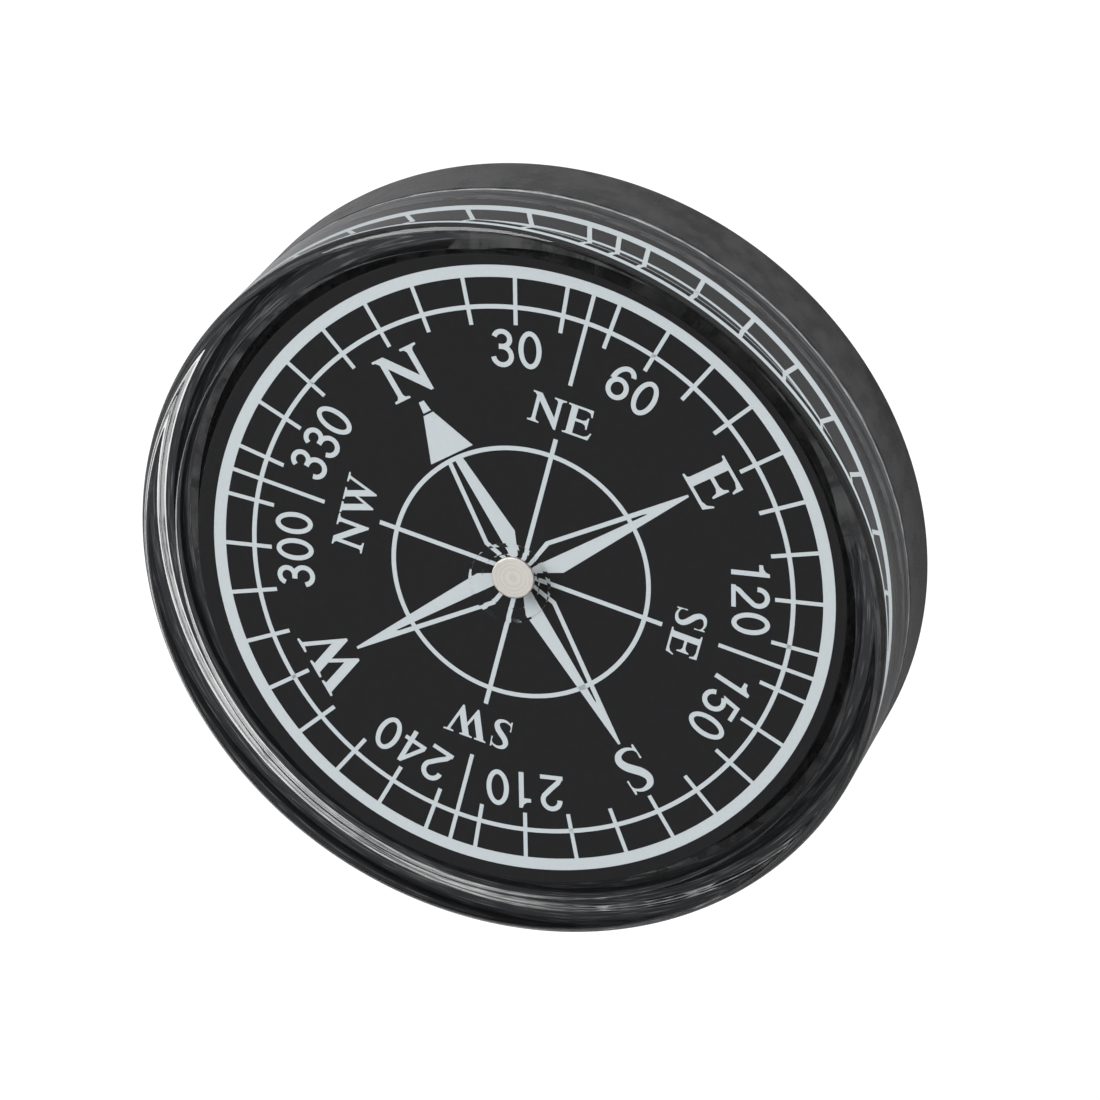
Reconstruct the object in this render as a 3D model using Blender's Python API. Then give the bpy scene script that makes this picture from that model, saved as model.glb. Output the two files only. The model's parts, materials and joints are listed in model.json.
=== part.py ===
"""Liquid-filled capsule compass: a clear front shell on a black rear shell, with a card on a point pivot.

The capsule lies on its flat back with the window facing +Z, and the origin is the centre of the back.
The card hangs from the needle's tip by its jewel. At rest it leans towards +X, as it does when the
capsule is held at a slant, and its north mark then points 50 degrees round from +X towards +Y.
All sizes are in metres.
"""
import math

import bmesh
import bpy
from mathutils import Vector

# Case
CASE_RADIUS = 0.0225            # rim of the front shell
CASE_HEIGHT = 0.0098
CASE_DRAFT = 0.00015            # how much narrower the back is than the rim
SEAM_HEIGHT = 0.0044            # where the two shells meet
RIM_ROUND = 0.0006
WINDOW_THICKNESS = 0.00085
FRONT_WALL = 0.0019
REAR_WALL = 0.0022
REAR_FLOOR = 0.0013
BACK_ROUND = 0.0005
INNER_FILLET = 0.0006

# Joint between the shells
TONGUE_THICKNESS = 0.0007
TONGUE_DEPTH = 0.0009
TONGUE_FROM_OUTSIDE = 0.0007    # material outside the tongue
SEAL_HEIGHT = 0.0005
SEAM_CHAMFER = 0.00018          # V groove that the bead lies in
BEAD_DEPTH = 0.00012
BEAD_HALF_HEIGHT = 0.0001

# Card
CARD_CLEARANCE = 0.0006         # from the card's edge to the narrower wall
CARD_THICKNESS = 0.0004
CARD_BELOW_TIP = 0.0008         # printed face below the needle's tip
CARD_HOLE_CLEARANCE = 0.00006
REST_LEAN = math.radians(7.3)
NORTH_FROM_LEAN = math.radians(50.0)
GREATEST_LEAN = math.radians(8.0)
WINDOW_CLEARANCE = 0.00012      # card's edge to the window at the greatest lean

# Jewel cap, the turned piece that carries the card
CAP_HEAD_RADIUS = 0.001275
CAP_HEAD_THICKNESS = 0.00022
CAP_HEAD_TOP = 0.0009           # above the needle's tip
CAP_HEAD_CHAMFER = 0.00005
CAP_NECK_WALL = 0.00023
CAP_NECK_END = 0.00005          # neck that shows below its washer
JEWEL_RADIUS = 0.00042
JEWEL_TOP = 0.00042             # above the needle's tip
JEWEL_BOTTOM = 0.00012          # below the needle's tip
JEWEL_CUP_ANGLE = math.radians(50.0)
TIP_CLEARANCE = 0.00003
SETTING_WALL = 0.00016
SETTING_BOTTOM = 0.00035        # below the needle's tip
SETTING_LIP_RADIUS = 0.00034
FINE_CLEARANCE = 0.00004        # between pieces pressed or running in each other
BORE_CLEARANCE = 0.00008        # between the setting and the cap's bore

# Keeper collar, moulded on the inside of the window round the jewel cap
COLLAR_OUTER_RADIUS = 0.0024
COLLAR_WALL = 0.00068
COLLAR_END_CLEARANCE = 0.00008
COLLAR_RECESS = 0.0003

# Needle and its bush
NEEDLE_RADIUS = 0.0003
NEEDLE_TIP_ANGLE = math.radians(22.0)
BUSH_RADIUS = 0.0010
BUSH_ABOVE_BOSS = 0.0004
BOSS_RADIUS = 0.0024
BOSS_HEIGHT = 0.0011            # above the floor
SOCKET_FLOOR = 0.0006           # material left under the bush

# Magnets, their carrier, the washer and the balance weight
CARRIER_RADIUS = 0.0082
CARRIER_THICKNESS = 0.0008
MAGNET_LENGTH = 0.0120
MAGNET_WIDTH = 0.0022
MAGNET_THICKNESS = 0.0013
MAGNET_OFFSET = 0.0036          # each side of the card's north-south line
MAGNET_BEVEL = 0.00015
LAYER_GAP = 0.00003
POCKET_CLEARANCE = 0.00006
WASHER_RADIUS = 0.0019
WASHER_THICKNESS = 0.00026
WEIGHT_RADIUS = 0.0008
WEIGHT_THICKNESS = 0.0007
WEIGHT_FROM_AXIS = 0.0066       # on the south side

# Expansion diaphragm in the rear shell's floor
DIAPHRAGM_FROM_AXIS = 0.0115
DIAPHRAGM_RADIUS = 0.0042
DIAPHRAGM_THICKNESS = 0.00025
DIAPHRAGM_DISH = 0.0001
DIAPHRAGM_SEAT = 0.00055        # depth of its seat in the floor
DIAPHRAGM_RING_WALL = 0.0009
DIAPHRAGM_RING_HEIGHT = 0.0005
VENT_RADIUS = 0.0007
SEAT_CLEARANCE = 0.00006

# Filler plug in the back
PLUG_FROM_AXIS = 0.0130
PLUG_BEARING = math.radians(60.0)
PLUG_HEAD_RADIUS = 0.0017
PLUG_HEAD_THICKNESS = 0.00045
PLUG_SHANK_RADIUS = 0.0008
PLUG_RECESS = 0.00075           # depth of its seat in the back
PLUG_BELOW_BACK = 0.0001        # head's face below the back
PLUG_SLOT_WIDTH = 0.0004
PLUG_SLOT_DEPTH = 0.0002
PLUG_SEAL_THICKNESS = 0.0001

# Smoothness
CASE_SIDES = 64
FITTING_SIDES = 32
FINE_SIDES = 24
ROUND_STEPS = 3
SHARP_ANGLE = math.radians(30.0)

# Sizes that follow from those above
SHELL_GAP = 0.00005
CASE_BACK_RADIUS = CASE_RADIUS - CASE_DRAFT
FRONT_INNER_RADIUS = CASE_RADIUS - FRONT_WALL
REAR_INNER_RADIUS = CASE_BACK_RADIUS - REAR_WALL
WINDOW_INSIDE = CASE_HEIGHT - WINDOW_THICKNESS
CARD_RADIUS = min(FRONT_INNER_RADIUS, REAR_INNER_RADIUS) - CARD_CLEARANCE
CARD_FACE_HEIGHT = WINDOW_INSIDE - CARD_RADIUS * math.sin(GREATEST_LEAN) - WINDOW_CLEARANCE
TIP_HEIGHT = CARD_FACE_HEIGHT + CARD_BELOW_TIP
CARD_BACK = CARD_BELOW_TIP + CARD_THICKNESS
SETTING_INNER_RADIUS = JEWEL_RADIUS + FINE_CLEARANCE
SETTING_OUTER_RADIUS = SETTING_INNER_RADIUS + SETTING_WALL
CAP_BORE_RADIUS = SETTING_OUTER_RADIUS + BORE_CLEARANCE
CAP_NECK_RADIUS = CAP_BORE_RADIUS + CAP_NECK_WALL
CARRIER_TOP = CARD_BACK + LAYER_GAP
CARRIER_BOTTOM = CARRIER_TOP + CARRIER_THICKNESS
WASHER_TOP = CARRIER_BOTTOM + LAYER_GAP
WASHER_BOTTOM = WASHER_TOP + WASHER_THICKNESS
NECK_BOTTOM = WASHER_BOTTOM + CAP_NECK_END
HOLE_RADIUS = CAP_NECK_RADIUS + CARD_HOLE_CLEARANCE
TONGUE_OUTER_RADIUS = CASE_BACK_RADIUS - TONGUE_FROM_OUTSIDE
TONGUE_INNER_RADIUS = TONGUE_OUTER_RADIUS - TONGUE_THICKNESS
GROOVE_BOTTOM = SEAM_HEIGHT - TONGUE_DEPTH - SEAL_HEIGHT - 2 * SEAT_CLEARANCE
BOSS_TOP = REAR_FLOOR + BOSS_HEIGHT


def case_radius(height):
    """Outside of the case at a height: it tapers evenly from the rim to the back."""
    return CASE_BACK_RADIUS + CASE_DRAFT * height / CASE_HEIGHT


def finish(name, colour, roughness, metallic=0.0, alpha=1.0):
    """A piece's own material."""
    material = bpy.data.materials.new(name)
    material.use_nodes = True
    shader = material.node_tree.nodes["Principled BSDF"]
    shader.inputs["Base Color"].default_value = (*colour, 1.0)
    shader.inputs["Roughness"].default_value = roughness
    shader.inputs["Metallic"].default_value = metallic
    shader.inputs["Alpha"].default_value = alpha
    material.diffuse_color = (*colour, alpha)
    return material


def piece(name, bm, material, parent=None):
    """Turn a finished bmesh into a named, shaded object, under a pivot if it moves."""
    bmesh.ops.remove_doubles(bm, verts=bm.verts, dist=1e-8)
    bmesh.ops.recalc_face_normals(bm, faces=bm.faces)
    mesh = bpy.data.meshes.new(name)
    bm.to_mesh(mesh)
    bm.free()
    mesh.materials.append(material)
    mesh.shade_smooth()
    mesh.set_sharp_from_angle(angle=SHARP_ANGLE)
    obj = bpy.data.objects.new(name, mesh)
    bpy.context.scene.collection.objects.link(obj)
    obj.parent = parent
    return obj


def pivot(name, location, rotation, parent=None):
    """An empty on a joint's axis."""
    empty = bpy.data.objects.new(name, None)
    empty.location = location
    empty.rotation_euler = rotation
    empty.parent = parent
    bpy.context.scene.collection.objects.link(empty)
    return empty


def turned(outline, sides, centre=(0.0, 0.0)):
    """Spin an outline of (radius, height) points about a vertical axis.

    An outline that starts and ends on the axis is left open, and any other is closed.
    """
    bm = bmesh.new()
    verts = [bm.verts.new((radius, 0.0, height)) for radius, height in outline]
    edges = [bm.edges.new(pair) for pair in zip(verts, verts[1:])]
    if outline[0][0] > 0.0:
        edges.append(bm.edges.new((verts[-1], verts[0])))
    bmesh.ops.spin(bm, geom=verts + edges, cent=(0, 0, 0), axis=(0, 0, 1), angle=math.tau,
                   steps=sides, use_merge=True, use_duplicate=False)
    bmesh.ops.translate(bm, verts=bm.verts, vec=(*centre, 0.0))
    return bm


def block(size, centre):
    """A box of a size about its centre."""
    bm = bmesh.new()
    bmesh.ops.create_cube(bm, size=1.0)
    bmesh.ops.scale(bm, verts=bm.verts, vec=size)
    bmesh.ops.translate(bm, verts=bm.verts, vec=centre)
    return bm


def rounded(corner, towards, radius, steps=ROUND_STEPS):
    """Points of a quarter round in place of a square corner of an outline.

    towards holds the direction back along the side before the corner, and on along the side after it.
    """
    before, after = (Vector(direction) for direction in towards)
    centre = Vector(corner) + (before + after) * radius
    angles = [math.pi / 2 * step / steps for step in range(steps + 1)]
    return [tuple(centre - after * radius * math.cos(a) - before * radius * math.sin(a)) for a in angles]


def cut(obj, name, bm):
    """Take a tool's shape out of a piece."""
    tool = piece(name, bm, obj.data.materials[0], obj.parent)
    tool.hide_render = True
    tool.display_type = "WIRE"
    modifier = obj.modifiers.new(name, "BOOLEAN")
    modifier.operation = "DIFFERENCE"
    modifier.object = tool
    modifier.solver = "EXACT"


def make_front_shell():
    """Clear cup: window, side wall, keeper collar round the jewel cap, and the tongue of the joint."""
    bottom = SEAM_HEIGHT + SHELL_GAP / 2
    seam_radius = case_radius(bottom)
    collar_inner = COLLAR_OUTER_RADIUS - COLLAR_WALL
    collar_end = (TIP_HEIGHT + CAP_HEAD_TOP + CAP_HEAD_RADIUS * math.sin(GREATEST_LEAN)
                  + COLLAR_END_CLEARANCE)
    outline = [(0.0, CASE_HEIGHT)]
    outline += rounded((CASE_RADIUS, CASE_HEIGHT), ((-1, 0), (0, -1)), RIM_ROUND)
    outline += [
        (case_radius(bottom + SEAM_CHAMFER), bottom + SEAM_CHAMFER),
        (seam_radius - SEAM_CHAMFER, bottom),
        (TONGUE_OUTER_RADIUS, bottom),
        (TONGUE_OUTER_RADIUS, bottom - TONGUE_DEPTH),
        (TONGUE_INNER_RADIUS, bottom - TONGUE_DEPTH),
        (TONGUE_INNER_RADIUS, bottom),
        (FRONT_INNER_RADIUS, bottom),
    ]
    outline += rounded((FRONT_INNER_RADIUS, WINDOW_INSIDE), ((0, -1), (-1, 0)), INNER_FILLET)
    outline += [
        (COLLAR_OUTER_RADIUS, WINDOW_INSIDE),
        (COLLAR_OUTER_RADIUS, collar_end),
        (collar_inner, collar_end),
        (collar_inner, collar_end + COLLAR_RECESS),
        (0.0, collar_end + COLLAR_RECESS),
    ]
    clear = finish("clear_acrylic", (0.93, 0.95, 0.95), 0.03, alpha=0.25)
    return piece("front_shell", turned(outline, CASE_SIDES), clear)


def make_rear_shell():
    """Black cup: floor, wall with the joint's groove, bush boss, diaphragm seat and filler hole."""
    top = SEAM_HEIGHT - SHELL_GAP / 2
    groove_outer = TONGUE_OUTER_RADIUS + SHELL_GAP
    groove_inner = TONGUE_INNER_RADIUS - SHELL_GAP
    socket_radius = BUSH_RADIUS + FINE_CLEARANCE
    outline = [(0.0, SOCKET_FLOOR), (socket_radius, SOCKET_FLOOR), (socket_radius, BOSS_TOP),
               (BOSS_RADIUS, BOSS_TOP), (BOSS_RADIUS, REAR_FLOOR)]
    outline += rounded((REAR_INNER_RADIUS, REAR_FLOOR), ((-1, 0), (0, 1)), INNER_FILLET)
    outline += [
        (REAR_INNER_RADIUS, top),
        (groove_inner, top),
        (groove_inner, GROOVE_BOTTOM),
        (groove_outer, GROOVE_BOTTOM),
        (groove_outer, top),
        (case_radius(top) - SEAM_CHAMFER, top),
        (case_radius(top - SEAM_CHAMFER), top - SEAM_CHAMFER),
    ]
    outline += rounded((CASE_BACK_RADIUS, 0.0), ((0, 1), (-1, 0)), BACK_ROUND)
    outline += [(0.0, 0.0)]
    black = finish("black_gloss_plastic", (0.035, 0.035, 0.038), 0.22)
    shell = piece("rear_shell", turned(outline, CASE_SIDES), black)

    seat_radius = DIAPHRAGM_RADIUS + SEAT_CLEARANCE
    seat_floor = REAR_FLOOR - DIAPHRAGM_SEAT
    diaphragm_at = (-DIAPHRAGM_FROM_AXIS, 0.0)
    plug_at = plug_centre()
    past = REAR_FLOOR
    cut(shell, "diaphragm_seat_tool", turned(
        [(0.0, seat_floor), (seat_radius, seat_floor), (seat_radius, REAR_FLOOR + past),
         (0.0, REAR_FLOOR + past)], FITTING_SIDES, diaphragm_at))
    cut(shell, "vent_tool", turned(
        [(0.0, -past), (VENT_RADIUS, -past), (VENT_RADIUS, REAR_FLOOR), (0.0, REAR_FLOOR)],
        FINE_SIDES, diaphragm_at))
    recess_radius = PLUG_HEAD_RADIUS + SEAT_CLEARANCE
    hole_radius = PLUG_SHANK_RADIUS + FINE_CLEARANCE
    cut(shell, "filler_tool", turned(
        [(0.0, -past), (recess_radius, -past), (recess_radius, PLUG_RECESS), (hole_radius, PLUG_RECESS),
         (hole_radius, REAR_FLOOR + past), (0.0, REAR_FLOOR + past)], FITTING_SIDES, plug_at))
    return shell


def make_seam_bead():
    """Ring of set adhesive in the V groove between the shells."""
    outside = case_radius(SEAM_HEIGHT)
    inside = outside - BEAD_DEPTH
    narrow = BEAD_HALF_HEIGHT / 3
    outline = [(outside, SEAM_HEIGHT + BEAD_HALF_HEIGHT), (inside, SEAM_HEIGHT + narrow),
               (inside, SEAM_HEIGHT - narrow), (outside, SEAM_HEIGHT - BEAD_HALF_HEIGHT)]
    return piece("seam_bead", turned(outline, CASE_SIDES), finish("set_adhesive", (0.62, 0.63, 0.62), 0.5))


def make_seal_ring():
    """Rubber ring at the bottom of the groove, under the tongue."""
    low = GROOVE_BOTTOM + SEAT_CLEARANCE
    high = low + SEAL_HEIGHT
    ease = SEAL_HEIGHT / 4
    inside, outside = TONGUE_INNER_RADIUS, TONGUE_OUTER_RADIUS
    outline = [(inside + ease, low), (inside, low + ease), (inside, high - ease), (inside + ease, high),
               (outside - ease, high), (outside, high - ease), (outside, low + ease), (outside - ease, low)]
    return piece("seal_ring", turned(outline, CASE_SIDES), finish("seal_rubber", (0.03, 0.03, 0.03), 0.75))


def make_pivot_bush():
    """Brass bush in the floor's boss that holds the needle."""
    bottom = SOCKET_FLOOR + SEAT_CLEARANCE
    top = BOSS_TOP + BUSH_ABOVE_BOSS
    bore = NEEDLE_RADIUS + FINE_CLEARANCE
    ease = BUSH_ABOVE_BOSS / 2
    outline = [(bore, bottom), (bore, top), (BUSH_RADIUS - ease, top), (BUSH_RADIUS, top - ease),
               (BUSH_RADIUS, bottom)]
    return piece("pivot_bush", turned(outline, FITTING_SIDES), finish("brass", (0.62, 0.47, 0.2), 0.3, 1.0))


def make_pivot_needle():
    """Hardened steel needle whose point carries the card."""
    bottom = SOCKET_FLOOR + 2 * SEAT_CLEARANCE
    shoulder = TIP_HEIGHT - NEEDLE_RADIUS / math.tan(NEEDLE_TIP_ANGLE)
    outline = [(0.0, bottom), (NEEDLE_RADIUS, bottom), (NEEDLE_RADIUS, shoulder), (0.0, TIP_HEIGHT)]
    steel = finish("needle_steel", (0.55, 0.56, 0.58), 0.2, 1.0)
    return piece("pivot_needle", turned(outline, FINE_SIDES), steel)


def make_expansion_diaphragm():
    """Dished rubber disc over the vent, which gives as the liquid warms and cools."""
    low = REAR_FLOOR - DIAPHRAGM_SEAT + SEAT_CLEARANCE
    high = low + DIAPHRAGM_THICKNESS
    flat = DIAPHRAGM_RADIUS - DIAPHRAGM_RING_WALL
    outline = [(0.0, low + DIAPHRAGM_DISH), (flat / 2, low + DIAPHRAGM_DISH), (flat, low),
               (DIAPHRAGM_RADIUS, low), (DIAPHRAGM_RADIUS, high), (flat, high),
               (flat / 2, high + DIAPHRAGM_DISH), (0.0, high + DIAPHRAGM_DISH)]
    return piece("expansion_diaphragm", turned(outline, FITTING_SIDES, (-DIAPHRAGM_FROM_AXIS, 0.0)),
                 finish("diaphragm_rubber", (0.05, 0.05, 0.055), 0.65))


def make_diaphragm_ring():
    """Brass ring pressed in over the edge of the diaphragm."""
    low = REAR_FLOOR - DIAPHRAGM_SEAT + DIAPHRAGM_THICKNESS + 2 * SEAT_CLEARANCE
    high = low + DIAPHRAGM_RING_HEIGHT
    outside = DIAPHRAGM_RADIUS
    inside = outside - DIAPHRAGM_RING_WALL
    ease = DIAPHRAGM_RING_HEIGHT / 4
    outline = [(inside, low), (inside, high - ease), (inside + ease, high), (outside - ease, high),
               (outside, high - ease), (outside, low)]
    return piece("diaphragm_ring", turned(outline, FITTING_SIDES, (-DIAPHRAGM_FROM_AXIS, 0.0)),
                 finish("ring_brass", (0.6, 0.46, 0.21), 0.35, 1.0))


def plug_centre():
    """Where the filler hole goes through the floor."""
    return (PLUG_FROM_AXIS * math.cos(PLUG_BEARING), PLUG_FROM_AXIS * math.sin(PLUG_BEARING))


def make_fill_plug():
    """Slotted plug that closes the filler hole from behind."""
    low = PLUG_BELOW_BACK
    shoulder = low + PLUG_HEAD_THICKNESS
    top = REAR_FLOOR
    ease = PLUG_HEAD_THICKNESS / 5
    outline = [(0.0, low), (PLUG_HEAD_RADIUS - ease, low), (PLUG_HEAD_RADIUS, low + ease),
               (PLUG_HEAD_RADIUS, shoulder), (PLUG_SHANK_RADIUS, shoulder),
               (PLUG_SHANK_RADIUS, top - ease), (PLUG_SHANK_RADIUS - ease, top), (0.0, top)]
    plug = piece("fill_plug", turned(outline, FITTING_SIDES, plug_centre()),
                 finish("plug_nylon", (0.06, 0.06, 0.06), 0.4))
    slot_size = (3 * PLUG_HEAD_RADIUS, PLUG_SLOT_WIDTH, 2 * PLUG_SLOT_DEPTH)
    cut(plug, "plug_slot_tool", block(slot_size, (*plug_centre(), low)))
    return plug


def make_plug_seal():
    """Thin washer under the plug's head."""
    low = PLUG_BELOW_BACK + PLUG_HEAD_THICKNESS + FINE_CLEARANCE
    high = low + PLUG_SEAL_THICKNESS
    inside = PLUG_SHANK_RADIUS + FINE_CLEARANCE
    outside = PLUG_HEAD_RADIUS
    outline = [(inside, low), (inside, high), (outside, high), (outside, low)]
    return piece("plug_seal", turned(outline, FITTING_SIDES, plug_centre()),
                 finish("plug_rubber", (0.04, 0.04, 0.04), 0.7))


def make_pivot_jewel(parent):
    """Sapphire cup that sits on the needle's tip."""
    apex = TIP_CLEARANCE
    mouth = (apex + JEWEL_BOTTOM) * math.tan(JEWEL_CUP_ANGLE)
    outline = [(0.0, apex), (mouth, -JEWEL_BOTTOM), (JEWEL_RADIUS, -JEWEL_BOTTOM),
               (JEWEL_RADIUS, JEWEL_TOP), (0.0, JEWEL_TOP)]
    return piece("pivot_jewel", turned(outline, FINE_SIDES),
                 finish("sapphire", (0.75, 0.8, 0.9), 0.05), parent)


def make_jewel_setting(parent):
    """Brass ring with a lip that holds the jewel in the cap."""
    inside, outside = SETTING_INNER_RADIUS, SETTING_OUTER_RADIUS
    lip_top = -JEWEL_BOTTOM - FINE_CLEARANCE
    top = JEWEL_TOP - FINE_CLEARANCE
    outline = [(SETTING_LIP_RADIUS, -SETTING_BOTTOM), (SETTING_LIP_RADIUS, lip_top), (inside, lip_top),
               (inside, top), (outside, top), (outside, -SETTING_BOTTOM)]
    return piece("jewel_setting", turned(outline, FINE_SIDES),
                 finish("setting_brass", (0.62, 0.48, 0.22), 0.3, 1.0), parent)


def make_jewel_cap(parent):
    """Nickel-plated cap: a flat head that shows at the card's centre, and a neck through the card."""
    under_head = CAP_HEAD_TOP - CAP_HEAD_THICKNESS
    bore_top = JEWEL_TOP + FINE_CLEARANCE
    edge = CAP_HEAD_RADIUS - CAP_HEAD_CHAMFER
    outline = [(0.0, CAP_HEAD_TOP), (edge, CAP_HEAD_TOP), (CAP_HEAD_RADIUS, CAP_HEAD_TOP - CAP_HEAD_CHAMFER),
               (CAP_HEAD_RADIUS, under_head), (CAP_NECK_RADIUS, under_head),
               (CAP_NECK_RADIUS, -NECK_BOTTOM), (CAP_BORE_RADIUS, -NECK_BOTTOM),
               (CAP_BORE_RADIUS, bore_top), (0.0, bore_top)]
    return piece("jewel_cap", turned(outline, FITTING_SIDES),
                 finish("nickel_plate", (0.72, 0.69, 0.66), 0.3, 1.0), parent)


def make_card_disc(parent):
    """Thin black disc that carries the printed rose and degree scale."""
    outline = [(HOLE_RADIUS, -CARD_BELOW_TIP), (CARD_RADIUS, -CARD_BELOW_TIP),
               (CARD_RADIUS, -CARD_BACK), (HOLE_RADIUS, -CARD_BACK)]
    return piece("card_disc", turned(outline, CASE_SIDES),
                 finish("card_black", (0.02, 0.02, 0.022), 0.6), parent)


def make_magnet_carrier(parent):
    """Moulded plate under the card, with a window for each magnet and a hole for the weight."""
    outline = [(HOLE_RADIUS, -CARRIER_TOP), (CARRIER_RADIUS, -CARRIER_TOP),
               (CARRIER_RADIUS, -CARRIER_BOTTOM), (HOLE_RADIUS, -CARRIER_BOTTOM)]
    carrier = piece("magnet_carrier", turned(outline, FITTING_SIDES),
                    finish("carrier_plastic", (0.09, 0.09, 0.095), 0.5), parent)
    middle = -(CARRIER_TOP + CARRIER_BOTTOM) / 2
    pocket = (MAGNET_WIDTH + 2 * POCKET_CLEARANCE, MAGNET_LENGTH + 2 * POCKET_CLEARANCE,
              3 * CARRIER_THICKNESS)
    for side, name in ((1, "east"), (-1, "west")):
        cut(carrier, f"pocket_{name}_tool", block(pocket, (side * MAGNET_OFFSET, 0.0, middle)))
    hole = WEIGHT_RADIUS + POCKET_CLEARANCE
    above, below = -CARRIER_TOP + CARRIER_THICKNESS, -CARRIER_BOTTOM - CARRIER_THICKNESS
    cut(carrier, "weight_hole_tool", turned([(0.0, below), (hole, below), (hole, above), (0.0, above)],
                                            FINE_SIDES, (0.0, -WEIGHT_FROM_AXIS)))
    return carrier


def make_magnet(name, side, parent):
    """Bar magnet parallel to the card's north-south line."""
    centre = (side * MAGNET_OFFSET, 0.0, -CARRIER_TOP - MAGNET_THICKNESS / 2)
    bm = block((MAGNET_WIDTH, MAGNET_LENGTH, MAGNET_THICKNESS), centre)
    bmesh.ops.bevel(bm, geom=bm.edges, offset=MAGNET_BEVEL, segments=1, affect="EDGES")
    return piece(name, bm, finish(name + "_steel", (0.3, 0.3, 0.31), 0.35, 1.0), parent)


def make_cap_washer(parent):
    """Push-on washer that holds the card and the carrier up against the cap's neck."""
    outline = [(HOLE_RADIUS, -WASHER_TOP), (WASHER_RADIUS, -WASHER_TOP),
               (WASHER_RADIUS, -WASHER_BOTTOM), (HOLE_RADIUS, -WASHER_BOTTOM)]
    return piece("cap_washer", turned(outline, FITTING_SIDES),
                 finish("washer_steel", (0.6, 0.6, 0.62), 0.3, 1.0), parent)


def make_balance_weight(parent):
    """Brass slug on the south side that levels the card against the dip of the field."""
    top = -CARRIER_TOP
    outline = [(0.0, top), (WEIGHT_RADIUS, top), (WEIGHT_RADIUS, top - WEIGHT_THICKNESS),
               (0.0, top - WEIGHT_THICKNESS)]
    return piece("balance_weight", turned(outline, FINE_SIDES, (0.0, -WEIGHT_FROM_AXIS)),
                 finish("weight_brass", (0.6, 0.45, 0.2), 0.35, 1.0), parent)


for leftover in list(bpy.data.objects):
    bpy.data.objects.remove(leftover)

make_front_shell()
make_rear_shell()
make_seam_bead()
make_seal_ring()
make_pivot_bush()
make_pivot_needle()
make_expansion_diaphragm()
make_diaphragm_ring()
make_fill_plug()
make_plug_seal()

lean = pivot("card_lean", (0.0, 0.0, TIP_HEIGHT), (0.0, REST_LEAN, 0.0))
make_pivot_jewel(lean)
make_jewel_setting(lean)

heading = pivot("card_heading", (0.0, 0.0, 0.0), (0.0, 0.0, NORTH_FROM_LEAN - math.pi / 2), lean)
make_jewel_cap(heading)
make_card_disc(heading)
make_magnet_carrier(heading)
make_magnet("magnet_east", 1, heading)
make_magnet("magnet_west", -1, heading)
make_cap_washer(heading)
make_balance_weight(heading)
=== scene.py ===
import json
import math

import bmesh
import bpy
from mathutils import Matrix, Vector, geometry


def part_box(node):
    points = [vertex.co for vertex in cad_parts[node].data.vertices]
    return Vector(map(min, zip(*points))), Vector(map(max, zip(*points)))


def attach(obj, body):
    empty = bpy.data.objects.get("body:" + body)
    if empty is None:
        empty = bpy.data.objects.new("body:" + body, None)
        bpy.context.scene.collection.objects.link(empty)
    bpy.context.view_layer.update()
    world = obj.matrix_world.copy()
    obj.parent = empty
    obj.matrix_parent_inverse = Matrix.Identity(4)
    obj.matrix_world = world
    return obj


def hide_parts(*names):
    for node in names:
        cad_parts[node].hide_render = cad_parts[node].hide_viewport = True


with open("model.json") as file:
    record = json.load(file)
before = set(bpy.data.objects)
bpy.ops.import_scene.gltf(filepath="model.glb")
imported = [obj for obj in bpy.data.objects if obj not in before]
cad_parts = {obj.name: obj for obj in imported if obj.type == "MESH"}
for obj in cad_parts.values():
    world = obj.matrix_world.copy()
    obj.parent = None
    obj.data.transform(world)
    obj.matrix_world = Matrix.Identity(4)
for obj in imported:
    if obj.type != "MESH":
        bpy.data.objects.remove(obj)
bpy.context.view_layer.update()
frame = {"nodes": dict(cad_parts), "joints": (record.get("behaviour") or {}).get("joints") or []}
nodes = frame["nodes"]

# Camera: a long lens looks down on the window from the side where the card leans down, rolled so that
# north points up and to the left. The case's rim gives the height that it aims at.
rim_low, rim_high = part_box("front_shell")
rim_radius = rim_high.x
rim_height = rim_high.z
LENS_MM = 198.18
VIEW_DISTANCE = 0.34533
VIEW_TILT = math.radians(32.342)
VIEW_AZIMUTH = math.radians(-14.63)
VIEW_ROLL = math.radians(142.88)
AIM_RIGHT = 0.002560
AIM_UP = 0.002214
CLIP_NEAR = 0.01
CLIP_FAR = 20.0
camera_data = bpy.data.cameras.new("compass_camera")
camera_data.lens = LENS_MM
camera_data.clip_start = CLIP_NEAR
camera_data.clip_end = CLIP_FAR
camera = bpy.data.objects.new("compass_camera", camera_data)
bpy.context.scene.collection.objects.link(camera)
turn = (Matrix.Rotation(VIEW_AZIMUTH + math.pi / 2, 3, "Z") @ Matrix.Rotation(VIEW_TILT, 3, "X")
        @ Matrix.Rotation(-VIEW_ROLL, 3, "Z"))
offset = turn @ Vector((AIM_RIGHT, AIM_UP, VIEW_DISTANCE))
camera.matrix_world = Matrix.LocRotScale(Vector((0.0, 0.0, rim_height)) + offset, turn, None)
bpy.context.scene.camera = camera

# Studio: a bright white surround with a dark overhead card where the window would mirror it, one large
# soft lamp, and a white table that glows, so that it shows no shadow. Mirrored in the case it is grey.
scene = bpy.context.scene
scene.view_settings.view_transform = "Standard"
scene.cycles.max_bounces = 24
scene.cycles.transmission_bounces = 20
scene.cycles.transparent_max_bounces = 16
scene.cycles.glossy_bounces = 12

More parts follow.
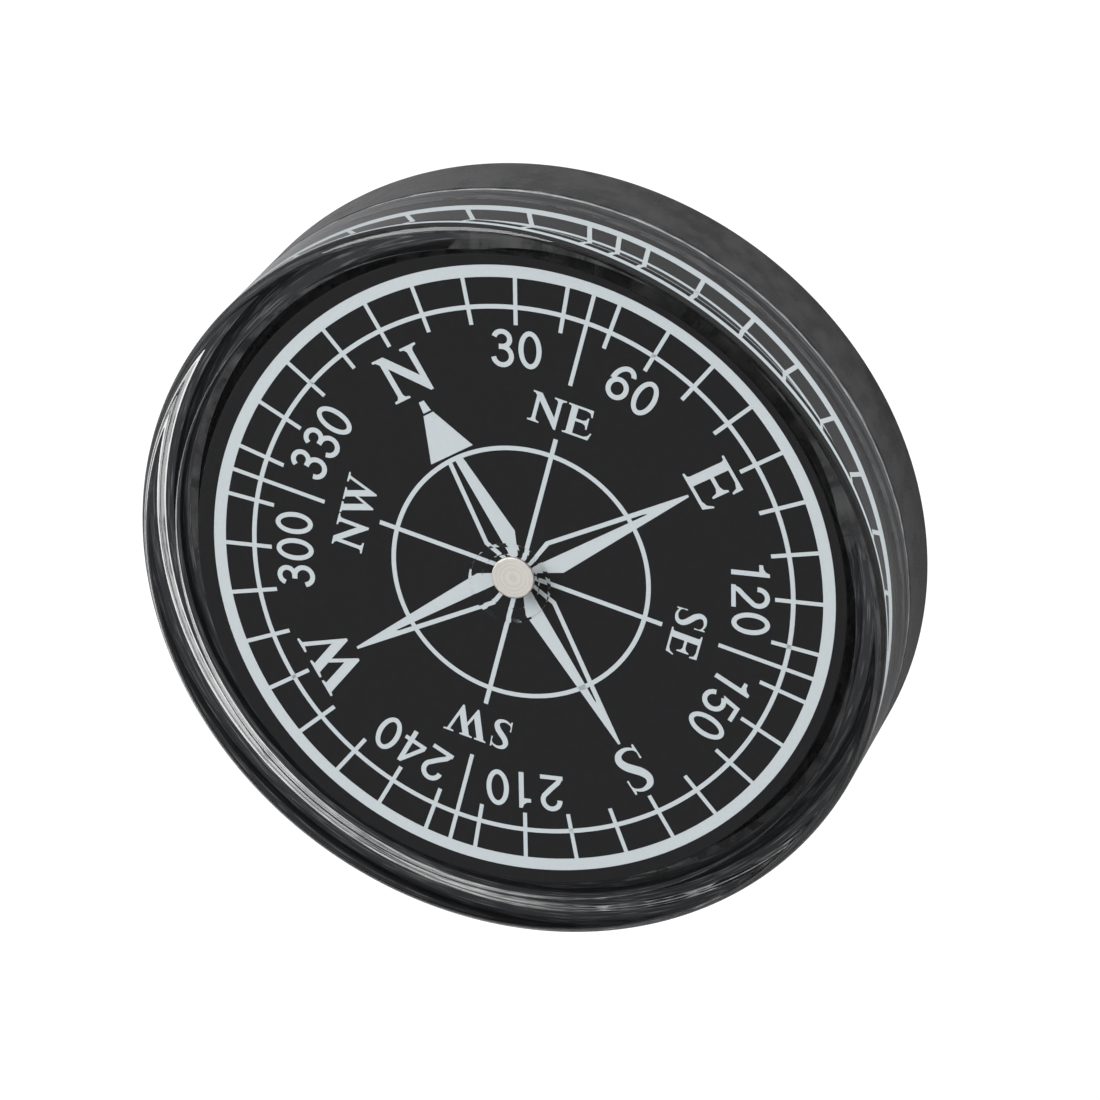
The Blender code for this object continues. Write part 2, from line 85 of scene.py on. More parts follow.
SURROUND_WHITE = (1.0, 1.0, 1.0, 1.0)
DARK_CARD_GREY = (0.10, 0.10, 0.105, 1.0)
WORLD_STRENGTH = 0.62
DARK_CARD_BEARING = VIEW_AZIMUTH + math.pi
DARK_CARD_ELEVATION = math.pi / 2 - VIEW_TILT
DARK_CARD_INNER = math.radians(24.0)
DARK_CARD_OUTER = math.radians(34.0)
world = bpy.data.worlds.new("studio")
scene.world = world
world.use_nodes = True
sky = world.node_tree
background = sky.nodes["Background"]
direction = sky.nodes.new("ShaderNodeTexCoord")
towards_card = sky.nodes.new("ShaderNodeVectorMath")
towards_card.operation = "DOT_PRODUCT"
towards_card.inputs[1].default_value = (
    math.cos(DARK_CARD_ELEVATION) * math.cos(DARK_CARD_BEARING),
    math.cos(DARK_CARD_ELEVATION) * math.sin(DARK_CARD_BEARING),
    math.sin(DARK_CARD_ELEVATION))
card_edge = sky.nodes.new("ShaderNodeMapRange")
card_edge.interpolation_type = "SMOOTHSTEP"
card_edge.inputs["From Min"].default_value = math.cos(DARK_CARD_OUTER)
card_edge.inputs["From Max"].default_value = math.cos(DARK_CARD_INNER)
surround = sky.nodes.new("ShaderNodeMix")
surround.data_type = "RGBA"
surround.inputs["A"].default_value = SURROUND_WHITE
surround.inputs["B"].default_value = DARK_CARD_GREY
sky.links.new(direction.outputs["Generated"], towards_card.inputs[0])
sky.links.new(towards_card.outputs["Value"], card_edge.inputs["Value"])
sky.links.new(card_edge.outputs["Result"], surround.inputs["Factor"])
sky.links.new(surround.outputs["Result"], background.inputs["Color"])
background.inputs["Strength"].default_value = WORLD_STRENGTH

LAMP_PLACE = Vector((0.25, 0.55, 0.75))
LAMP_SIZE = 0.6
LAMP_POWER = 6.0
lamp_data = bpy.data.lights.new("soft_lamp", "AREA")
lamp_data.shape = "DISK"
lamp_data.size = LAMP_SIZE
lamp_data.energy = LAMP_POWER
lamp = bpy.data.objects.new("soft_lamp", lamp_data)
lamp.location = LAMP_PLACE
lamp.rotation_euler = LAMP_PLACE.to_track_quat("Z", "Y").to_euler()
scene.collection.objects.link(lamp)


def finish(name, colour, roughness, metallic=0.0, ior=1.5, transmission=0.0):
    """A Principled material with its plain values set; patterns are linked in afterwards."""
    material = bpy.data.materials.new(name)
    material.use_nodes = True
    shader = material.node_tree.nodes["Principled BSDF"]
    shader.inputs["Base Color"].default_value = (*colour, 1.0)
    shader.inputs["Roughness"].default_value = roughness
    shader.inputs["Metallic"].default_value = metallic
    shader.inputs["IOR"].default_value = ior
    shader.inputs["Transmission Weight"].default_value = transmission
    return material


def noise(material, scale, detail=4.0, stretch=(1.0, 1.0, 1.0)):
    """A noise pattern in the piece's own coordinates, in repeats per metre."""
    tree = material.node_tree
    place = tree.nodes.new("ShaderNodeTexCoord")
    mapping = tree.nodes.new("ShaderNodeMapping")
    mapping.inputs["Scale"].default_value = stretch
    texture = tree.nodes.new("ShaderNodeTexNoise")
    texture.inputs["Scale"].default_value = scale
    texture.inputs["Detail"].default_value = detail
    tree.links.new(place.outputs["Object"], mapping.inputs["Vector"])
    tree.links.new(mapping.outputs["Vector"], texture.inputs["Vector"])
    return texture.outputs["Fac"]


def spread(material, fac, low, high, from_low=0.3, from_high=0.7):
    """Spread a pattern over a range of values."""
    node = material.node_tree.nodes.new("ShaderNodeMapRange")
    node.inputs["From Min"].default_value = from_low
    node.inputs["From Max"].default_value = from_high
    node.inputs["To Min"].default_value = low
    node.inputs["To Max"].default_value = high
    material.node_tree.links.new(fac, node.inputs["Value"])
    return node.outputs["Result"]


def tint(material, fac, dark, light):
    """Colour a pattern between two shades, into the shader's base colour."""
    tree = material.node_tree
    node = tree.nodes.new("ShaderNodeMix")
    node.data_type = "RGBA"
    node.inputs["A"].default_value = (*dark, 1.0)
    node.inputs["B"].default_value = (*light, 1.0)
    tree.links.new(fac, node.inputs["Factor"])
    tree.links.new(node.outputs["Result"], tree.nodes["Principled BSDF"].inputs["Base Color"])


def roughen(material, value):
    """Drive the shader's roughness from a pattern."""
    tree = material.node_tree
    tree.links.new(value, tree.nodes["Principled BSDF"].inputs["Roughness"])


def emboss(material, height, depth, strength=1.0):
    """Raise the surface by a pattern, depth in metres."""
    tree = material.node_tree
    node = tree.nodes.new("ShaderNodeBump")
    node.inputs["Strength"].default_value = strength
    node.inputs["Distance"].default_value = depth
    tree.links.new(height, node.inputs["Height"])
    tree.links.new(node.outputs["Normal"], tree.nodes["Principled BSDF"].inputs["Normal"])


TABLE_GLOW = 1.1
TABLE_MIRRORED = (0.5, 0.5, 0.51)
TABLE_SIZE = 12.0
TABLE_DROP = 0.00002
table_white = finish("table_white", (0.02, 0.02, 0.02), 0.6)
table_tree = table_white.node_tree
table_shader = table_tree.nodes["Principled BSDF"]
table_shader.inputs["Emission Color"].default_value = SURROUND_WHITE
table_shader.inputs["Emission Strength"].default_value = TABLE_GLOW
table_grey = table_tree.nodes.new("ShaderNodeBsdfDiffuse")
table_grey.inputs["Color"].default_value = (*TABLE_MIRRORED, 1.0)
seen_straight = table_tree.nodes.new("ShaderNodeLightPath")
table_mix = table_tree.nodes.new("ShaderNodeMixShader")
table_tree.links.new(seen_straight.outputs["Is Camera Ray"], table_mix.inputs[0])
table_tree.links.new(table_grey.outputs["BSDF"], table_mix.inputs[1])
table_tree.links.new(table_shader.outputs["BSDF"], table_mix.inputs[2])
table_tree.links.new(table_mix.outputs["Shader"], table_tree.nodes["Material Output"].inputs["Surface"])
table_mesh = bpy.data.meshes.new("studio_table")
half = TABLE_SIZE / 2
table_mesh.from_pydata([(-half, -half, -TABLE_DROP), (half, -half, -TABLE_DROP), (half, half, -TABLE_DROP),
                        (-half, half, -TABLE_DROP)], [], [(0, 1, 2, 3)])
table_mesh.materials.append(table_white)
table = bpy.data.objects.new("studio_table", table_mesh)
scene.collection.objects.link(table)

# Front shell: one clear acrylic moulding with a flat window, a side wall and a short collar round the cap.
# Its outside meets air and its inside the liquid, which fills it and is not drawn. The joint at its lower
# edge is blacked by the adhesive. Along the outer edge, for a part of a turn, a white film is painted light:
# it stands in for the lit table seen through the chamfer, patchy and faint where the object's shadow dims it.
CASE_SIDES = 256
SHARP_ANGLE = math.radians(35.0)
FLAT_MARGIN = 0.00004
ACRYLIC_IOR = 1.49
LIQUID_IOR = 1.45
BONDED_IOR = 1.04
WINDOW_THICKNESS = 0.00085
FRONT_WALL = 0.0019
RIM_ROUND = 0.0006
INNER_FILLET = 0.0006
CASE_DRAFT = 0.00015
SEAM_CHAMFER = 0.00018
TONGUE_FROM_OUTSIDE = 0.0007
TONGUE_THICKNESS = 0.0007
COLLAR_OUTER_RADIUS = 0.0024
COLLAR_WALL = 0.00068
COLLAR_ROUND = 0.00008
COLLAR_RECESS = 0.0003
COLLAR_LENGTH = 0.00088
PAINTED_LIGHT_FROM = 0.00005
PAINTED_LIGHT_TO = 0.00027
PAINTED_LIGHT_BEARING = math.radians(118.0)
PAINTED_LIGHT_HALF = 0.124
PAINTED_FADING_TO = 0.235
PAINTED_LIGHT_FADE = 0.02
seam_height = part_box("seam_bead")[0].z / 2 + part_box("seam_bead")[1].z / 2
window_inside = rim_height - WINDOW_THICKNESS
shell_gap = 2 * (seam_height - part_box("rear_shell")[1].z)
back_radius = rim_radius - CASE_DRAFT


def case_radius(height):
    """Outside of the case at a height."""
    return back_radius + CASE_DRAFT * height / rim_height


def rounded(corner, before, after, radius, steps=8):
    """Points of a quarter round in place of a corner; before and after point away from it along its sides."""
    before, after = Vector(before), Vector(after)
    centre = Vector(corner) + (before + after) * radius
    angles = [math.pi / 2 * step / steps for step in range(steps + 1)]
    return [tuple(centre - after * radius * math.cos(a) - before * radius * math.sin(a)) for a in angles]


def with_flats_held(outline, slots):
    """Add a point near each end of every long side, so that smooth shading stays flat along it."""
    held, held_slots = [], []
    closed = outline[0][0] > 1e-9
    for index, (point, slot) in enumerate(zip(outline, slots)):
        held.append(point)
        held_slots.append(slot)
        if index + 1 < len(outline) or closed:
            start, end = Vector(point), Vector(outline[(index + 1) % len(outline)])
            length = (end - start).length
            if length > 3 * FLAT_MARGIN:
                margin = (end - start).normalized() * FLAT_MARGIN
                held += [tuple(start + margin), tuple(end - margin)]
                held_slots += [slot, slot]
    return held, held_slots


def lathe(name, outline, slots, materials, sides=CASE_SIDES, place=Matrix.Identity(4)):
    """Turn a closed outline of (radius, height) points, each run of it with its own material slot.

    An outline that starts and ends on the axis is closed by the axis, and any other by its last side.
    """
    outline, slots = with_flats_held(outline, slots or [0] * len(outline))
    bm = bmesh.new()
    rings = []
    for radius, height in outline:
        if radius < 1e-9:
            rings.append([bm.verts.new((0.0, 0.0, height))])
        else:
            rings.append([bm.verts.new((radius * math.cos(math.tau * side / sides),
                                        radius * math.sin(math.tau * side / sides), height))
                          for side in range(sides)])
    pairs = list(zip(range(len(rings)), range(1, len(rings))))
    if outline[0][0] > 1e-9:
        pairs.append((len(rings) - 1, 0))
    for first, second in pairs:
        ring_a, ring_b = rings[first], rings[second]
        for side in range(sides):
            after = (side + 1) % sides
            corners = [ring_a[side % len(ring_a)], ring_a[after % len(ring_a)],
                       ring_b[after % len(ring_b)], ring_b[side % len(ring_b)]]
            face = bm.faces.new(list(dict.fromkeys(corners)))
            face.material_index = slots[first]
            face.smooth = True
    bmesh.ops.recalc_face_normals(bm, faces=bm.faces)
    bm.transform(place)
    mesh = bpy.data.meshes.new(name)
    bm.to_mesh(mesh)
    bm.free()
    for material in materials:
        mesh.materials.append(material)
    mesh.set_sharp_from_angle(angle=SHARP_ANGLE)
    obj = bpy.data.objects.new(name, mesh)
    scene.collection.objects.link(obj)
    return obj


clear_acrylic = finish("clear_acrylic", (0.97, 0.985, 0.985), 0.0, ior=ACRYLIC_IOR, transmission=1.0)
wetted_acrylic = finish("wetted_acrylic", (0.99, 0.995, 0.99), 0.0, ior=ACRYLIC_IOR / LIQUID_IOR,
                        transmission=1.0)
joint_film = finish("joint_film", (0.02, 0.02, 0.021), 0.35, ior=BONDED_IOR)
# Painted light: a white film on the chamfer, standing in for the lit table seen through the wall.
painted_table_light_film = finish("painted_table_light_film", (0.5, 0.5, 0.5), 0.5, ior=BONDED_IOR)


def streaks(material, middle_bearing, count, rise):
    """Streaks that run round the case. Also gives the share of a turn from half a turn before a bearing."""
    tree = material.node_tree
    place = tree.nodes.new("ShaderNodeTexCoord")
    turned = tree.nodes.new("ShaderNodeMapping")
    turned.inputs["Rotation"].default_value = (0.0, 0.0, -middle_bearing)
    share = tree.nodes.new("ShaderNodeTexGradient")
    share.gradient_type = "RADIAL"
    height = tree.nodes.new("ShaderNodeSeparateXYZ")
    length = tree.nodes.new("ShaderNodeVectorMath")
    length.operation = "LENGTH"
    polar = tree.nodes.new("ShaderNodeCombineXYZ")
    sized = tree.nodes.new("ShaderNodeMapping")
    sized.inputs["Scale"].default_value = (count, rise, rise)
    texture = tree.nodes.new("ShaderNodeTexNoise")
    texture.inputs["Scale"].default_value = 1.0
    texture.inputs["Detail"].default_value = 5.0
    tree.links.new(place.outputs["Object"], turned.inputs["Vector"])
    tree.links.new(turned.outputs["Vector"], share.inputs["Vector"])
    tree.links.new(place.outputs["Object"], height.inputs["Vector"])
    tree.links.new(place.outputs["Object"], length.inputs[0])
    tree.links.new(share.outputs["Fac"], polar.inputs["X"])
    tree.links.new(length.outputs["Value"], polar.inputs["Y"])
    tree.links.new(height.outputs["Z"], polar.inputs["Z"])
    tree.links.new(polar.outputs["Vector"], sized.inputs["Vector"])
    tree.links.new(sized.outputs["Vector"], texture.inputs["Vector"])
    return texture.outputs["Fac"], share.outputs["Fac"]


def blended(material, first, second, operation="MULTIPLY"):
    """Combine two patterns."""
    node = material.node_tree.nodes.new("ShaderNodeMath")
    node.operation = operation
    node.use_clamp = True
    material.node_tree.links.new(first, node.inputs[0])
    material.node_tree.links.new(second, node.inputs[1])
    return node.outputs["Value"]


pattern, share = streaks(joint_film, PAINTED_LIGHT_BEARING, 60.0, 9000.0)
pooled = spread(joint_film, pattern, 0.0, 1.0, 0.52, 0.70)
tint(joint_film, pooled, (0.040, 0.041, 0.044), (0.15, 0.152, 0.157))


def past(share, turned_by):
    """Rise from nothing to full where the share of a turn from the painted light's middle passes a value."""
    return spread(painted_table_light_film, share, 0.0, 1.0, 0.5 + turned_by - PAINTED_LIGHT_FADE, 0.5 + turned_by + PAINTED_LIGHT_FADE)


def until(share, turned_by):
    """Fall from full to nothing where the share of a turn from the painted light's middle passes a value."""
    return spread(painted_table_light_film, share, 1.0, 0.0, 0.5 + turned_by - PAINTED_LIGHT_FADE, 0.5 + turned_by + PAINTED_LIGHT_FADE)


# Painted light on the chamfer: full white over part of a turn, then patchy and fading where the object's
# shadow would dim the table, and faint streaks elsewhere.
pattern, share = streaks(painted_table_light_film, PAINTED_LIGHT_BEARING, 40.0, 6000.0)
begun = past(share, -PAINTED_LIGHT_HALF)
painted_full_light = blended(painted_table_light_film, begun, until(share, PAINTED_LIGHT_HALF))
painted_fading_stretch = blended(painted_table_light_film, begun, until(share, PAINTED_FADING_TO))
painted_fading_patches = blended(painted_table_light_film, spread(painted_table_light_film, pattern, 0.1, 0.75, 0.4, 0.6), painted_fading_stretch)
faint_painted_light = blended(painted_table_light_film, spread(painted_table_light_film, pattern, 0.0, 0.14, 0.5, 0.65), painted_fading_patches, "MAXIMUM")
tint(painted_table_light_film, blended(painted_table_light_film, painted_full_light, faint_painted_light, "MAXIMUM"), (0.016, 0.016, 0.017), (1.0, 1.0, 1.0))

OUTSIDE, WETTED, JOINED, PAINTED_LIGHT = 0, 1, 2, 3
seam_top = seam_height + shell_gap / 2
tongue_outer = back_radius - TONGUE_FROM_OUTSIDE
tongue_inner = tongue_outer - TONGUE_THICKNESS
tongue_bottom = rim_low.z
front_inner = rim_radius - FRONT_WALL
collar_end = window_inside - COLLAR_LENGTH
collar_inner = COLLAR_OUTER_RADIUS - COLLAR_WALL
shell_runs = [
    ([(0.0, rim_height)], OUTSIDE),
    (rounded((rim_radius, rim_height), (-1, 0), (0, -1), RIM_ROUND, 16), OUTSIDE),
    ([(case_radius(seam_top + SEAM_CHAMFER), seam_top + SEAM_CHAMFER)], OUTSIDE),
    # The chamfer at the joint carries the film of painted light.
    ([(case_radius(seam_top) - PAINTED_LIGHT_FROM, seam_top + SEAM_CHAMFER - PAINTED_LIGHT_FROM),
      (case_radius(seam_top) - SEAM_CHAMFER, seam_top)], PAINTED_LIGHT),
    ([(case_radius(seam_top) - PAINTED_LIGHT_TO, seam_top), (tongue_outer, seam_top),
      (tongue_outer, tongue_bottom), (tongue_inner, tongue_bottom), (tongue_inner, seam_top)], JOINED),
    ([(front_inner, seam_top)], WETTED),
    (rounded((front_inner, window_inside), (0, -1), (-1, 0), INNER_FILLET, 12), WETTED),
    ([(COLLAR_OUTER_RADIUS, window_inside)], WETTED),
    (rounded((COLLAR_OUTER_RADIUS, collar_end), (0, 1), (-1, 0), COLLAR_ROUND, 4), WETTED),
    (rounded((collar_inner, collar_end), (1, 0), (0, 1), COLLAR_ROUND, 4), WETTED),
    ([(collar_inner, collar_end + COLLAR_RECESS), (0.0, collar_end + COLLAR_RECESS)], WETTED),
]
outline = [point for points, _ in shell_runs for point in points]
slots = [slot for points, slot in shell_runs for _ in points]
clear_shell = lathe("clear_front_shell", outline, slots,
                    [clear_acrylic, wetted_acrylic, joint_film, painted_table_light_film])
clear_shell.visible_shadow = False
clear_shell.visible_diffuse = False
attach(clear_shell, "case")
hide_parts("front_shell")

# Rear shell: a gloss black moulding, bonded to the front one. Its wall shows the uneven flow of the
# moulding, and its flat back holds the vent hole and the seat of the filler plug.
REAR_WALL = 0.0022
REAR_FLOOR = 0.0013
BACK_ROUND = 0.0005
BOSS_RADIUS = 0.0024
BOSS_HEIGHT = 0.0011
SOCKET_FLOOR = 0.0006
SEAT_CLEARANCE = 0.00006
VENT_RADIUS = 0.0007
DIAPHRAGM_SEAT = 0.00055
PLUG_RECESS = 0.00075
PLUG_SHANK_HOLE = 0.00084
FITTING_SIDES = 96
black_gloss = finish("black_gloss_plastic", (0.02, 0.02, 0.021), 0.25, ior=1.5)
flow = noise(black_gloss, 650.0, 6.0)
tint(black_gloss, spread(black_gloss, flow, 0.0, 1.0, 0.36, 0.64), (0.020, 0.020, 0.021),
     (0.068, 0.068, 0.070))
roughen(black_gloss, spread(black_gloss, flow, 0.18, 0.42))
emboss(black_gloss, noise(black_gloss, 900.0, 3.0), 0.00004)

rear_top = seam_height - shell_gap / 2
rear_inner = back_radius - REAR_WALL
groove_outer = tongue_outer + shell_gap
groove_inner = tongue_inner - shell_gap
groove_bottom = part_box("seal_ring")[0].z - SEAT_CLEARANCE
socket_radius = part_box("pivot_bush")[1].x + shell_gap
boss_top = REAR_FLOOR + BOSS_HEIGHT
outline = [(0.0, SOCKET_FLOOR), (socket_radius, SOCKET_FLOOR), (socket_radius, boss_top),
           (BOSS_RADIUS, boss_top), (BOSS_RADIUS, REAR_FLOOR)]
outline += rounded((rear_inner, REAR_FLOOR), (-1, 0), (0, 1), INNER_FILLET)
outline += [(rear_inner, rear_top), (groove_inner, rear_top), (groove_inner, groove_bottom),
            (groove_outer, groove_bottom), (groove_outer, rear_top),
            (case_radius(rear_top) - SEAM_CHAMFER, rear_top),
            (case_radius(rear_top - SEAM_CHAMFER), rear_top - SEAM_CHAMFER)]
outline += rounded((back_radius, 0.0), (0, 1), (-1, 0), BACK_ROUND)
outline += [(0.0, 0.0)]
black_shell = lathe("black_rear_shell", outline, [], [black_gloss])


def middle(node):
    """Centre of a CAD node's box."""
    low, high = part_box(node)
    return (low + high) / 2


def bored(obj, centre, radius, low, high):
    """Bore a round hole, of a radius and between two heights, through a piece."""
    drill = lathe("drill", [(0.0, low), (radius, low), (radius, high), (0.0, high)], [],
                  list(obj.data.materials), FITTING_SIDES, Matrix.Translation((centre.x, centre.y, 0.0)))
    modifier = obj.modifiers.new("bore", "BOOLEAN")
    modifier.operation = "DIFFERENCE"
    modifier.solver = "EXACT"
    modifier.object = drill
    bpy.context.view_layer.update()
    holed = bpy.data.meshes.new_from_object(obj.evaluated_get(bpy.context.evaluated_depsgraph_get()))
    obj.modifiers.clear()
    obj.data = holed
    bpy.data.objects.remove(drill)


plug = middle("fill_plug")
plug_head_radius = (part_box("fill_plug")[1].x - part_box("fill_plug")[0].x) / 2
diaphragm = middle("expansion_diaphragm")
diaphragm_radius = (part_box("expansion_diaphragm")[1].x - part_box("expansion_diaphragm")[0].x) / 2
above, below = 2 * REAR_FLOOR, -REAR_FLOOR
bored(black_shell, diaphragm, diaphragm_radius + SEAT_CLEARANCE, REAR_FLOOR - DIAPHRAGM_SEAT, above)
bored(black_shell, diaphragm, VENT_RADIUS, below, REAR_FLOOR)
bored(black_shell, plug, plug_head_radius + SEAT_CLEARANCE, below, PLUG_RECESS)
bored(black_shell, plug, PLUG_SHANK_HOLE, 0.0, above)
for polygon in black_shell.data.polygons:
    polygon.use_smooth = True
black_shell.data.set_sharp_from_angle(angle=SHARP_ANGLE)
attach(black_shell, "case")
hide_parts("rear_shell")

# Seam bead: the adhesive that squeezed out of the joint and set, whitish and uneven in width and depth.
BEAD_WIDTH = 0.00010
BEAD_STANDS = 0.00002
BEAD_LEAST = 0.15
BEAD_SIDES = 720
bead_waves = [(7, 0.3, 0.0), (19, 0.35, 1.7), (43, 0.25, 0.6), (97, 0.2, 2.9)]
bead_paste = finish("set_adhesive", (0.35, 0.36, 0.36), 0.4)
tint(bead_paste, noise(bead_paste, 1500.0), (0.05, 0.052, 0.053), (0.75, 0.77, 0.78))


def unevenness(angle):
    """Share by which the bead is wider or narrower at an angle, about one."""
    return 1.0 + sum(size * math.sin(count * angle + start) for count, size, start in bead_waves)


bm = bmesh.new()
bead_rings = []
for side in range(BEAD_SIDES):
    angle = math.tau * side / BEAD_SIDES
    swell = max(BEAD_LEAST, unevenness(angle))
    half_width = BEAD_WIDTH * swell
    outside = case_radius(seam_height) + BEAD_STANDS * swell - SEAM_CHAMFER / 3
    inside = case_radius(seam_height) - SEAM_CHAMFER
    section = [(inside, -half_width / 3), (outside, -half_width), (outside + BEAD_STANDS, 0.0),
               (outside, half_width), (inside, half_width / 3)]
    bead_rings.append([bm.verts.new((radius * math.cos(angle), radius * math.sin(angle), seam_height + rise))
                       for radius, rise in section])
for ring_a, ring_b in zip(bead_rings, bead_rings[1:] + bead_rings[:1]):
    for corner in range(len(ring_a)):
        face = bm.faces.new((ring_a[corner], ring_b[corner], ring_b[corner - 1], ring_a[corner - 1]))
        face.smooth = True
bmesh.ops.recalc_face_normals(bm, faces=bm.faces)
bead_mesh = bpy.data.meshes.new("adhesive_bead")
bm.to_mesh(bead_mesh)
bm.free()
bead_mesh.materials.append(bead_paste)
bead = bpy.data.objects.new("adhesive_bead", bead_mesh)
scene.collection.objects.link(bead)
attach(bead, "case")
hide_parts("seam_bead")

# Card: a thin black disc, matt from its coat of paint, that hangs level in the liquid from the jewel cap.
# It leans in the case at rest, so it is made flat and laid in place by the joint's axis.
CARD_SIDES = 256
CARD_BELOW_TIP = 0.0008
CARD_THICKNESS = 0.0004
CARD_EDGE_ROUND = 0.00008
CARD_CLEARANCE = 0.0006
CARD_HOLE_RADIUS = 0.00095
heading_joint = next(joint for joint in frame["joints"] if joint["name"] == "card_heading")
card_up = Vector(heading_joint["axis"]).normalized()
tip = Vector((0.0, 0.0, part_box("pivot_needle")[1].z))
south_side = middle("balance_weight") - tip
card_north = -(south_side - card_up * south_side.dot(card_up)).normalized()
card_east = card_north.cross(card_up)
on_card = Matrix.Translation(tip) @ Matrix((card_east, card_north, card_up)).transposed().to_4x4()
card_radius = rear_inner - CARD_CLEARANCE
WETTED_PAINT_IOR = 1.08
card_black = finish("card_black", (0.019, 0.019, 0.0195), 0.55, ior=WETTED_PAINT_IOR)
coat = noise(card_black, 3200.0, 3.0)
tint(card_black, coat, (0.0165, 0.0165, 0.0175), (0.0215, 0.0215, 0.0225))
roughen(card_black, spread(card_black, coat, 0.48, 0.62))
emboss(card_black, noise(card_black, 9000.0, 2.0), 0.000004)
face, underside = -CARD_BELOW_TIP, -CARD_BELOW_TIP - CARD_THICKNESS
outline = [(CARD_HOLE_RADIUS, face)]
outline += rounded((card_radius, face), (-1, 0), (0, -1), CARD_EDGE_ROUND, 4)
outline += rounded((card_radius, underside), (0, 1), (-1, 0), CARD_EDGE_ROUND, 4)
outline += [(CARD_HOLE_RADIUS, underside)]
card = lathe("black_card", outline, [], [card_black], CARD_SIDES, on_card)
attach(card, "card")
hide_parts("card_disc")

# Printed scale: pale grey-white ink, screened on the card. A broad ring and a fine one carry a line every
# ten degrees, and longer lines between the quarters. The print lies a little off the card's centre.
INK_THICKNESS = 0.000012
INK_LAYER = 0.0000008
INK_LAYERS = 7
RING_STEPS = 256
PRINT_EAST = 0.00015
PRINT_NORTH = -0.00006
PRINT_TURN = math.radians(0.28)
ring_radius = 0.8310 * rim_radius
on_print = on_card @ Matrix.Translation((PRINT_EAST, PRINT_NORTH, 0.0)) @ Matrix.Rotation(PRINT_TURN, 4, "Z")
ink = finish("pale_ink", (0.60, 0.65, 0.68), 0.5, ior=WETTED_PAINT_IOR)
grain = noise(ink, 5200.0, 3.0)
tint(ink, grain, (0.565, 0.615, 0.645), (0.635, 0.685, 0.71))
emboss(ink, grain, 0.000003)


def circle(radius, steps=RING_STEPS, centre=(0.0, 0.0)):
    """Points of a circle."""
    return [(centre[0] + radius * math.cos(math.tau * step / steps),
             centre[1] + radius * math.sin(math.tau * step / steps)) for step in range(steps)]


def bar(low, high, width):
    """Outline of an upright bar about x = 0."""
    return [(-width / 2, low), (width / 2, low), (width / 2, high), (-width / 2, high)]


def placed(shape, bearing, radius=0.0, size=1.0, shift=0.0):
    """Turn a shape's outlines to a bearing from north, its top outward, with its foot at a radius."""
    sine, cosine = math.sin(math.radians(bearing)), math.cos(math.radians(bearing))
    moved = []
    for points in shape:
        moved.append([((shift + x) * size * cosine + (radius + y * size) * sine,
                       -(shift + x) * size * sine + (radius + y * size) * cosine) for x, y in points])
    return moved


def printed(name, shapes):
    """Lay shapes of ink on the card. A shape is its outer outline and those of its holes, in ring radii."""
    bm = bmesh.new()
    for layer, shape in enumerate(shapes):
        foot = face + INK_LAYER
        top = foot + INK_THICKNESS + INK_LAYER * (layer % INK_LAYERS)
        loops = [[Vector((x * ring_radius, y * ring_radius, 0.0)) for x, y in points] for points in shape]
        flat = [point for loop in loops for point in loop]
        low = [bm.verts.new((point.x, point.y, foot)) for point in flat]
        high = [bm.verts.new((point.x, point.y, top)) for point in flat]
        for triangle in geometry.tessellate_polygon(loops):
            bm.faces.new([high[index] for index in triangle])
            bm.faces.new([low[index] for index in reversed(triangle)])
        first = 0
        for loop in loops:
            count = len(loop)
            for step in range(count):
                a, b = first + step, first + (step + 1) % count
                bm.faces.new((low[a], low[b], high[b], high[a]))
            first += count
    bmesh.ops.recalc_face_normals(bm, faces=bm.faces)
    bm.transform(on_print)
    mesh = bpy.data.meshes.new(name)
    bm.to_mesh(mesh)
    bm.free()
    mesh.materials.append(ink)
    obj = bpy.data.objects.new(name, mesh)
    scene.collection.objects.link(obj)
    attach(obj, "card")
    return obj


BROAD_RING = (0.961, 1.0)
FINE_RING = (0.8597, 0.8743)
LINE_WIDTH = 0.013
LINE_FOOT = 0.81
LONG_LINE_FOOT = 0.653
scale = [[circle(outer), circle(inner)] for inner, outer in (BROAD_RING, FINE_RING)]
for bearing in range(0, 360, 10):
    scale.append(placed([bar(LINE_FOOT, BROAD_RING[0], LINE_WIDTH)], bearing))
for bearing in range(45, 360, 90):
    scale.append(placed([bar(LONG_LINE_FOOT, BROAD_RING[0], LINE_WIDTH)], bearing))
printed("ink_scale", scale)

# Printed rose: four arms, each half filled and half in outline, on a fine circle, with fine lines between
# them. The north arm stops at the circle and goes on as an arrowhead.
ARM_TIP = 0.622
ARM_TIP_HALF = 0.004
WAIST_OUT = 0.128
WAIST_HALF = 0.056
ROSE_LINE = 0.0145
ROSE_RADIUS = 0.41
ROSE_RAY_END = 0.468
ARM_OPEN_FROM = 0.030
ARM_OPEN_TO = 0.473
NORTH_ARM_END = 0.414
side_slope = (WAIST_HALF - ARM_TIP_HALF) / (ARM_TIP - WAIST_OUT)


def arm_half(out):
    """Half width of an arm beyond its waist, at a distance out from the centre."""
    return ARM_TIP_HALF + (ARM_TIP - out) * side_slope


